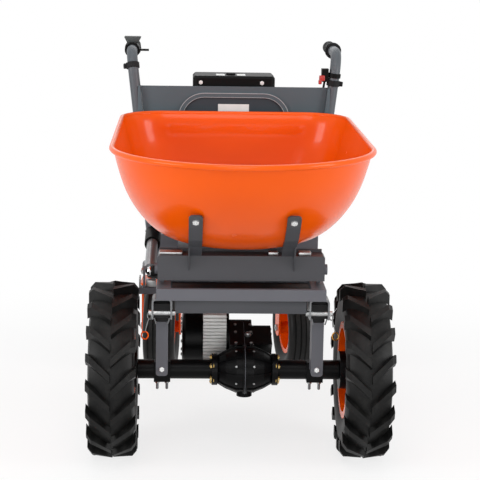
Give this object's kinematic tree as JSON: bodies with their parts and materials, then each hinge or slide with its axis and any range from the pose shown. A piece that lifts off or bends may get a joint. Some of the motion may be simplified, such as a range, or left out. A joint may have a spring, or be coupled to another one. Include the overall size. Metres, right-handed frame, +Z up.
{
  "type": "motorized wheelbarrow",
  "caption": "Electric walk-behind wheelbarrow with a forward-tipping orange tub, driven lug-tyred front wheels, trailing swivel casters and handlebar grips",
  "frame": {"origin": "on the ground under the middle of the whole length and width", "axes": "+Z up, the front with the tub's tipping edge faces -Y, the handles are at +Y, +X is to the right of someone facing its front"},
  "size_m": [0.689, 1.2094, 0.926],
  "materials": {
    "orange_paint": "gloss powder coat",
    "frame_grey": "satin powder coat",
    "axle_black": "satin black paint on castings",
    "motor_silver": "bead blasted extrusion",
    "zinc": "zinc plated",
    "tyre": "matte rubber",
    "rubber": "matte rubber",
    "black_plastic": "fine moulded grain",
    "red_plastic": "gloss",
    "rod_chrome": "polished"
  },
  "bodies": {
    "chassis": {"front_crossmember": "frame_grey", "pivot_brackets": "frame_grey", "frame_rail_left": "frame_grey", "frame_rail_right": "frame_grey", "rear_platform": "frame_grey", "cross_bar": "frame_grey", "axle_leg_left": "frame_grey", "axle_leg_right": "frame_grey", "handle_left": "frame_grey", "handle_right": "frame_grey", "rear_panel": "frame_grey", "battery_tray": "frame_grey", "caster_left_mount": "frame_grey", "caster_right_mount": "frame_grey", "pivot_pins": "frame_grey", "axle_tube_left": "axle_black", "axle_tube_right": "axle_black", "differential_housing": "axle_black", "gearbox": "axle_black", "motor_ends": "axle_black", "motor_body": "motor_silver", "clevis_left": "zinc", "clevis_right": "zinc", "clevis_pins": "zinc", "clevis_bushes": "rubber", "grip_left": "rubber", "grip_right": "rubber", "control_cables": "rubber", "battery_case": "black_plastic", "battery_lid": "black_plastic", "display": "black_plastic", "thumb_throttle": "black_plastic", "switch_box": "black_plastic", "switch_rocker": "red_plastic"},
    "front_left_wheel": {"front_left_tyre": "tyre", "front_left_rim": "orange_paint", "front_left_hub": "axle_black"},
    "front_right_wheel": {"front_right_tyre": "tyre", "front_right_rim": "orange_paint", "front_right_hub": "axle_black"},
    "caster_left": {"caster_left_fork": "orange_paint"},
    "caster_right": {"caster_right_fork": "orange_paint"},
    "caster_left_wheel": {"caster_left_tyre": "tyre", "caster_left_rim": "orange_paint"},
    "caster_right_wheel": {"caster_right_tyre": "tyre", "caster_right_rim": "orange_paint"},
    "tipping_tub": {"tub": "orange_paint", "tub_straps": "frame_grey", "cradle_panel": "frame_grey", "cradle_rails": "frame_grey"},
    "actuator": {"actuator_barrel": "motor_silver", "actuator_housing": "black_plastic"},
    "actuator_rod_body": {"actuator_rod": "rod_chrome"}
  },
  "joints": [
    {"name": "front_left_spin", "type": "hinge", "parent": "chassis", "child": "front_left_wheel", "pos_m": [-0.289, -0.23925, 0.205], "axis": [1, 0, 0], "continuous": true},
    {"name": "front_right_spin", "type": "hinge", "parent": "chassis", "child": "front_right_wheel", "pos_m": [0.289, -0.23925, 0.205], "axis": [1, 0, 0], "continuous": true},
    {"name": "caster_left_swivel", "type": "hinge", "parent": "chassis", "child": "caster_left", "pos_m": [-0.192, 0.40075, 0.29], "axis": [0, 0, 1], "continuous": true},
    {"name": "caster_left_spin", "type": "hinge", "parent": "caster_left", "child": "caster_left_wheel", "pos_m": [-0.18886, 0.44564, 0.125], "axis": [0.9976, -0.0698, 0], "continuous": true},
    {"name": "caster_right_swivel", "type": "hinge", "parent": "chassis", "child": "caster_right", "pos_m": [0.192, 0.40075, 0.29], "axis": [0, 0, 1], "continuous": true},
    {"name": "caster_right_spin", "type": "hinge", "parent": "caster_right", "child": "caster_right_wheel", "pos_m": [0.18496, 0.4452, 0.125], "axis": [0.9877, 0.1564, 0], "continuous": true},
    {"name": "tub_tilt", "type": "hinge", "parent": "chassis", "child": "tipping_tub", "pos_m": [0, -0.31425, 0.462], "axis": [1, 0, 0], "range_deg": [0, 70]},
    {"name": "actuator_swing", "type": "hinge", "parent": "tipping_tub", "child": "actuator", "pos_m": [-0.2095, 0.26075, 0.431], "axis": [1, 0, 0], "range_deg": [0, 16.01]},
    {"name": "actuator_stroke", "type": "slide", "parent": "actuator", "child": "actuator_rod_body", "axis": [0, -0.997, -0.0769], "range_m": [0, 0.23768]}
  ],
  "couplings": [
    {"joint": "actuator_swing", "follows": "tub_tilt", "ratio": 0.22159},
    {"joint": "actuator_stroke", "follows": "tub_tilt", "m_per_rad": 0.19373}
  ]
}
